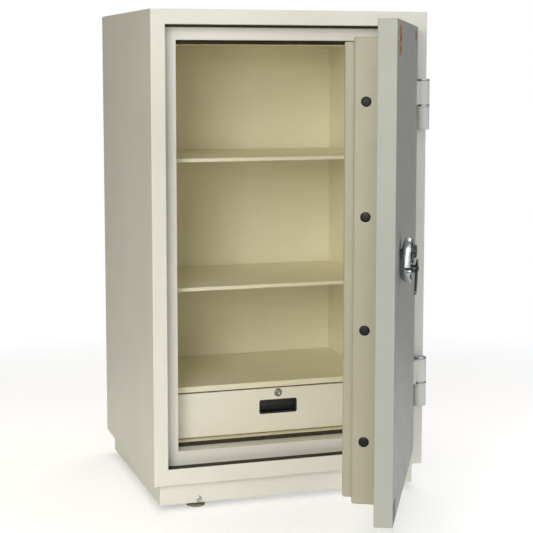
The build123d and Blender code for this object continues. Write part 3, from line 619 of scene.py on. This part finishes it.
def make_hinge_metal():
    """Pins with domed, grooved heads, and thrust washers with a groove round them."""
    pins, washers = [], []
    pin_length, washer_height = 124.4 * MM, 4.6 * MM
    pin_low, pin_high = corners("hinge_pins")
    wash_low, wash_high = corners("hinge_washers")
    x, y = (pin_low.x + pin_high.x) / 2, (pin_low.y + pin_high.y) / 2
    head = [(5.9, 0), (5.9, 119.0), (16.6, 119.0), (16.8, 119.3), (16.8, 120.6), (16.2, 120.9), (16.2, 121.5),
            (16.8, 121.8), (16.7, 122.4), (15.8, 123.4), (13.6, 124.2), (9.0, 124.4), (5.0, 124.3), (4.4, 123.8)]
    section = [(6.2, 0.15), (16.6, 0.15), (17.2, 0.4), (17.4, 1.0), (17.4, 1.7), (16.9, 1.9), (16.9, 2.6), (17.4, 2.8),
               (17.4, 3.6), (17.2, 4.2), (16.6, 4.45), (6.2, 4.45)]
    for level in range(2):
        pin = turned("pin", in_mm(head), 56)
        moved(pin, Matrix.Translation((x, y, pin_low.z if level == 0 else pin_high.z - pin_length)))
        pins.append(pin)
        washer = ring("washer", in_mm(section), 56)
        moved(washer, Matrix.Translation((x, y, wash_low.z if level == 0 else wash_high.z - washer_height)))
        washers.append(washer)
    pins[0].name, washers[0].name = "hinge_pins_domed", "hinge_washers_grooved"
    fitted(joined(pins), "cabinet", chrome, ["hinge_pins"])
    fitted(joined(washers), "cabinet", chrome, ["hinge_washers"])


def make_badge():
    """Round badge: a gold rim and two gold bands over a red field."""
    profile = [(33.0, 0), (33.0, 0.8), (32.7, 1.15), (32.2, 1.2), (31.0, 1.2), (30.6, 0.9), (26.5, 0.85), (26.2, 1.05),
               (24.9, 1.05), (24.6, 0.85)]
    rim_inside, field_radius = 30.7 * MM, 24.0
    piece = turned("door_badge_rimmed", in_mm(profile), 96)
    at = on_face(middle("door_badge"), door_face, door_out)
    moved(piece, facing(at, door_out))
    fitted(piece, "door", badge_film, ["door_badge"])
    piece.data.materials.append(badge_gold)
    for face in piece.data.polygons:
        away = face.center - at
        away -= door_out * away.dot(door_out)
        if rim_inside < away.length:
            face.material_index = 1
    for low, high in ((-14.0, -3.0), (9.0, 22.0)):
        width = 2 * math.sqrt(field_radius ** 2 - max(abs(low), abs(high)) ** 2) * MM
        band = rounded_sheet("band", width, (high - low) * MM, 1.5 * MM, 0.80 * MM, 3)
        pull((0, 0, 0.15 * MM))
        bpy.ops.mesh.inset(thickness=0.2 * MM, depth=0.1 * MM)
        close_up()
        moved(band, facing(at, door_out) @ Matrix.Translation((0, (low + high) / 2 * MM, 0)))
        band.data.materials.append(badge_gold)
        joined([piece, band])


def make_plate(node, made, width, height, corner, edge, name):
    """A thin plate with a raised border."""
    piece = rounded_sheet(name, width, height, corner)
    pull((0, 0, 0.75 * MM))
    bpy.ops.mesh.inset(thickness=0.25 * MM, depth=0.15 * MM)
    bpy.ops.mesh.inset(thickness=edge, depth=0)
    bpy.ops.mesh.inset(thickness=0.3 * MM, depth=-0.25 * MM)
    close_up()
    at = on_face(middle(node), door_face, door_out)
    moved(piece, facing(at, door_out))
    fitted(piece, "door", made, [node])


# The drawer's fittings

drawer_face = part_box("drawer_front")[0][1]


def make_drawer_pull():
    """Recessed cup pull: a raised frame, tapered walls and a grip lip along its top."""
    low, high = corners("drawer_pull")
    wide, tall = high.x - low.x, high.z - low.z
    piece = rounded_sheet("drawer_pull_moulded", wide, tall, 5 * MM, 0.1 * MM)
    pull((0, 0, 0.7 * MM))
    bpy.ops.mesh.inset(thickness=0.5 * MM, depth=0.4 * MM)
    bpy.ops.mesh.inset(thickness=3.9 * MM, depth=0)
    bpy.ops.mesh.inset(thickness=0.4 * MM, depth=-0.5 * MM)
    pull((0, 0, -12.5 * MM), (0.985, 0.93, 1), (0, 0, 0))
    pull((0, 0, -1.4 * MM), (0.975, 0.93, 1), (0, 0, 0))
    bpy.ops.mesh.select_all(action="DESELECT")
    mesh = bmesh.from_edit_mesh(piece.data)
    for face in mesh.faces:
        face.select_set(abs(face.calc_center_median().z - 0.1 * MM) < 1e-6 and len(face.edges) > 8)
    bmesh.update_edit_mesh(piece.data)
    bpy.ops.mesh.delete(type="FACE")
    close_up()
    only(piece)
    wall = piece.modifiers.new("wall", "SOLIDIFY")
    wall.thickness, wall.offset, wall.use_even_offset = 1.1 * MM, -1, True
    bpy.ops.object.modifier_apply(modifier=wall.name)
    lip = slab("lip", (wide - 10.5 * MM, 10.5 * MM, 1.6 * MM), (0, tall / 2 - 9.6 * MM, 0.2 * MM))
    open_up(lip)
    pick_faces(lip, lambda face: face.normal.y < -0.9)
    pull((0, -1.6 * MM, -0.8 * MM), (0.985, 1, 0.9), (0, 0, 0.2 * MM))
    pull((0, -0.9 * MM, -2.2 * MM), (0.985, 1, 0.9), (0, 0, -0.6 * MM))
    close_up()
    eased(lip, 0.5 * MM, 3, 30)
    joined([piece, lip])
    moved(piece, facing(Vector(((low.x + high.x) / 2, drawer_face, (low.z + high.z) / 2)), FRONT_WAY))
    fitted(piece, "drawer", black_plastic, ["drawer_pull"])


def make_drawer_lock():
    """Dark plated collar, and a dished key plug with its slot and cam."""
    low, high = corners("lock_barrel")
    seat = facing(Vector(((low.x + high.x) / 2, drawer_face, (low.z + high.z) / 2)), FRONT_WAY)
    deep = high.y - drawer_face
    section = [(6.1, 0.9), (6.4, 1.5), (7.2, 1.75), (8.8, 1.8), (9.8, 1.5), (10.4, 0.9), (10.4, 0.05), (9.4, 0.0),
               (9.4, -deep / MM), (6.1, -deep / MM)]
    collar = ring("lock_barrel_stepped", in_mm(section), 56)
    moved(collar, seat)
    fitted(collar, "drawer", lock_steel, ["lock_barrel"])
    cam_low, cam_high = corners("drawer_lock_plug")
    back = cam_high.y - drawer_face
    profile = [(5.9 * MM, -back + 1.0 * MM), (5.9 * MM, 0.9 * MM), (5.5 * MM, 1.4 * MM), (4.9 * MM, 1.5 * MM),
               (4.5 * MM, 1.2 * MM), (1.0 * MM, 0.9 * MM)]
    plug = turned("drawer_lock_plug_dished", profile, 48)
    slot = slab("slot", (7.2 * MM, 2.2 * MM, 10 * MM), (0, 0, 0))
    eased(slot, 0.35 * MM, 2)
    carved(plug, slot)
    cam = slab("cam", (cam_high.x - cam_low.x, 12 * MM, 2.2 * MM),
               ((cam_low.x + cam_high.x) / 2 - seat.translation.x, 0, -back + 1.1 * MM))
    eased(cam, 0.9 * MM, 3)
    carved(plug, cam, "UNION")
    moved(plug, seat)
    fitted(plug, "drawer_lock", zinc, ["drawer_lock_plug"])


# Base fittings

def make_plinth_screws():
    """Pan-head screws with a cross recess."""
    low, high = corners("plinth_screws")
    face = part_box("plinth")[0][1]
    head_radius = 8 * MM
    profile = [(8.0, 0), (8.0, 0.6), (7.8, 1.2), (7.0, 2.1), (5.4, 2.7), (3.0, 3.0)]
    head = turned("plinth_screws_cross", in_mm(profile), 48)
    for size in ((7.4 * MM, 1.3 * MM, 3 * MM), (1.3 * MM, 7.4 * MM, 3 * MM)):
        blade = slab("blade", size, (0, 0, 3.0 * MM))
        open_up(blade)
        pick_faces(blade, lambda f: f.normal.z < -0.9)
        bpy.ops.transform.resize(value=(0.6, 0.6, 1), center_override=(0, 0, 0))
        close_up()
        carved(head, blade)
    other = copy_of(head)
    z = (low.z + high.z) / 2
    moved(head, facing(Vector((low.x + head_radius, face, z)), FRONT_WAY))
    moved(other, facing(Vector((high.x - head_radius, face, z)), FRONT_WAY))
    fitted(joined([head, other]), "cabinet", zinc, ["plinth_screws"])


def make_feet():
    """Levelling feet: a ribbed plastic pad under a nut and a screwed stem."""
    sides, thread_start, thread_end, thread_pitch, metal_from = 72, 13.2, 53, 1.5, 12.0 * MM
    for side in ("left", "right"):
        node = "levelling_foot_" + side
        at = middle(node)
        at.z = 0
        profile = [(21.6, 0), (22.6, 0.4), (23.0, 1.2), (23.0, 4.6), (22.3, 5.8), (20.6, 6.7), (14.6, 7.2), (13.0, 7.4),
                   (13.0, 11.6), (12.2, 12.4), (8.4, 12.6)]
        height = thread_start
        while height < thread_end:
            profile += [(7.3, height), (8.0, height + 0.7)]
            height += thread_pitch
        profile += [(7.4, 55.0), (6.6, 56.0)]
        foot = turned(node + "_ribbed", in_mm(profile), sides)
        open_up(foot)

        def rib(face):
            spot = face.calc_center_median()
            on_rim = math.hypot(spot.x, spot.y) > 22.8 * MM and 1.3 * MM < spot.z < 4.4 * MM
            return on_rim and column(spot, sides) % 3 == 0

        pick_faces(foot, rib)
        bpy.ops.mesh.extrude_region_shrink_fatten(TRANSFORM_OT_shrink_fatten={"value": -0.6 * MM})
        close_up()
        moved(foot, Matrix.Translation(at))
        foot.data.materials.append(foot_plastic)
        foot.data.materials.append(zinc)
        for face in foot.data.polygons:
            face.material_index = 1 if face.center.z > metal_from else 0
        fitted(foot, "foot_" + side, None, [node])


def make_sill_cap():
    """Round cap let into the sill, with a raised rim and a dished centre."""
    low, high = corners("sill_cap")
    at = (low + high) / 2
    at.z = low.z
    profile = [(14.6, 0), (15.0, 0.3), (15.0, 0.8), (14.6, 1.2), (13.6, 1.2), (13.1, 0.7), (6.0, 0.6), (5.2, 0.9),
               (4.2, 0.9), (3.8, 0.4)]
    cap = turned("sill_cap_rimmed", in_mm(profile), 64)
    moved(cap, Matrix.Translation(at))
    fitted(cap, "cabinet", body_paint, ["sill_cap"])


make_lock_housing()
make_lever()
make_dial()
make_bolts()
make_hinge_metal()
make_badge()
make_plate("rating_plate", plate_film, 55 * MM, 39 * MM, 4 * MM, 1.6 * MM, "rating_plate_bordered")
make_plate("small_label", label_film, 20 * MM, 23 * MM, 2.2 * MM, 1.0 * MM, "small_label_bordered")
make_drawer_pull()
make_drawer_lock()
make_plinth_screws()
make_feet()
make_sill_cap()


# Studio

def studio():
    """A round pale floor, soft lights and the camera."""
    floor_radius, fade_start, fade_end = 2.4, 1.3, 2.3
    floor_glow, floor_glow_seen = 0.14, 0.40
    air_glow, air_glow_mirrored = 0.03, 0.30
    bpy.ops.mesh.primitive_circle_add(vertices=96, radius=floor_radius, fill_type="NGON",
                                      location=(0, 0, -0.0003))
    floor = bpy.context.object
    floor.name = "floor"
    made, tree, shader, place = finish("floor_white", (0.92, 0.92, 0.92), 0.7)
    pale = tint(tree, grain(tree, place, 0.6, 2), (0.91, 0.91, 0.91), (0.93, 0.93, 0.93))
    tree.links.new(pale, shader.inputs["Base Color"])
    reach_out = tree.nodes.new("ShaderNodeVectorMath")
    reach_out.operation = "LENGTH"
    tree.links.new(place, reach_out.inputs[0])
    bounce = tree.nodes.new("ShaderNodeEmission")
    bounce.inputs["Color"].default_value = (0.98, 0.98, 1.0, 1)
    seen = tree.nodes.new("ShaderNodeLightPath")
    glow = spread(tree, seen.outputs["Is Camera Ray"], floor_glow, floor_glow_seen, 0, 1)
    tree.links.new(glow, bounce.inputs["Strength"])
    lit = tree.nodes.new("ShaderNodeAddShader")
    tree.links.new(shader.outputs[0], lit.inputs[0])
    tree.links.new(bounce.outputs[0], lit.inputs[1])
    clear = tree.nodes.new("ShaderNodeBsdfTransparent")
    fade = tree.nodes.new("ShaderNodeMixShader")
    tree.links.new(spread(tree, reach_out.outputs["Value"], 0, 1, fade_start, fade_end), fade.inputs[0])
    tree.links.new(lit.outputs[0], fade.inputs[1])
    tree.links.new(clear.outputs[0], fade.inputs[2])
    end = next(node for node in tree.nodes if node.type == "OUTPUT_MATERIAL")
    tree.links.new(fade.outputs[0], end.inputs[0])
    floor.data.materials.append(made)

    world = bpy.context.scene.world or bpy.data.worlds.new("studio")
    bpy.context.scene.world = world
    world.use_nodes = True
    tree = world.node_tree
    tree.nodes.clear()
    end = tree.nodes.new("ShaderNodeOutputWorld")
    air = tree.nodes.new("ShaderNodeBackground")
    air.inputs["Color"].default_value = (1.0, 1.0, 1.0, 1)
    backdrop = tree.nodes.new("ShaderNodeBackground")
    backdrop.inputs["Color"].default_value = (1, 1, 1, 1)
    backdrop.inputs["Strength"].default_value = 1.0
    path = tree.nodes.new("ShaderNodeLightPath")
    glow = spread(tree, path.outputs["Is Glossy Ray"], air_glow, air_glow_mirrored, 0, 1)
    tree.links.new(glow, air.inputs["Strength"])
    mix = tree.nodes.new("ShaderNodeMixShader")
    tree.links.new(path.outputs["Is Camera Ray"], mix.inputs[0])
    tree.links.new(air.outputs[0], mix.inputs[1])
    tree.links.new(backdrop.outputs[0], mix.inputs[2])
    tree.links.new(mix.outputs[0], end.inputs[0])

    def softbox(name, place, aim, size, power, colour=(1, 1, 1)):
        lamp = bpy.data.lights.new(name, "AREA")
        lamp.shape = "RECTANGLE"
        lamp.size, lamp.size_y = size
        lamp.energy = power
        lamp.color = colour
        thing = bpy.data.objects.new(name, lamp)
        bpy.context.scene.collection.objects.link(thing)
        thing.location = place
        thing.rotation_euler = (Vector(aim) - Vector(place)).to_track_quat("-Z", "Y").to_euler()

    softbox("key", (-2.2, -3.3, 2.2), (0, 0.2, 0.7), (1.6, 1.6), 58.0)
    softbox("low_key", (-2.0, -3.4, 0.9), (0, 0.2, 0.6), (1.4, 1.4), 27.0)
    softbox("front", (0.3, -4.4, 1.3), (0, 0, 0.6), (2.0, 2.0), 20.0)
    softbox("front_top", (0, -2.6, 3.0), (0, 0, 0.5), (2.0, 2.0), 11.0)
    softbox("left_fill", (-3.2, -1.8, 1.6), (0, 0, 0.6), (1.4, 1.8), 16.0, (1, 0.9, 0.22))
    softbox("right_fill", (3.4, -1.2, 1.3), (0.2, -0.3, 0.6), (1.6, 2.0), 4.0, (0.6, 0.72, 1))
    softbox("right_front", (2.4, -3.4, 1.8), (0.1, -0.2, 0.6), (1.6, 1.6), 33.0, (0.88, 0.935, 1))
    softbox("rear_right", (0.9, 0.7, 3.3), (0.1, 0, 0), (2.2, 2.2), 34.0, (1, 0.96, 0.90))
    softbox("rear_left", (-0.3, 0.9, 3.3), (0, 0, 0), (2.2, 2.2), 31.0, (1, 0.96, 0.90))
    softbox("strip", (-1.9, -2.8, 1.3), (-0.3, 0.1, 0.62), (0.5, 1.2), 2.5)
    softbox("inner_strip", (-0.5, -3.4, 1.4), (-0.15, 0.5, 0.65), (0.5, 0.8), 0.9)

    lens = bpy.data.cameras.new("camera")
    camera = bpy.data.objects.new("camera", lens)
    bpy.context.scene.collection.objects.link(camera)
    camera.location = (-1.0964, -3.2275, 1.0723)
    yaw, pitch = math.radians(17.691), math.radians(6.409)
    camera.rotation_euler = (math.pi / 2 - pitch, 0, -yaw)
    lens.sensor_width = 36
    lens.lens = 95.174
    lens.shift_y = -0.076
    lens.clip_start, lens.clip_end = 0.05, 60
    bpy.context.scene.camera = camera
    bpy.context.scene.view_settings.view_transform = "Standard"


studio()
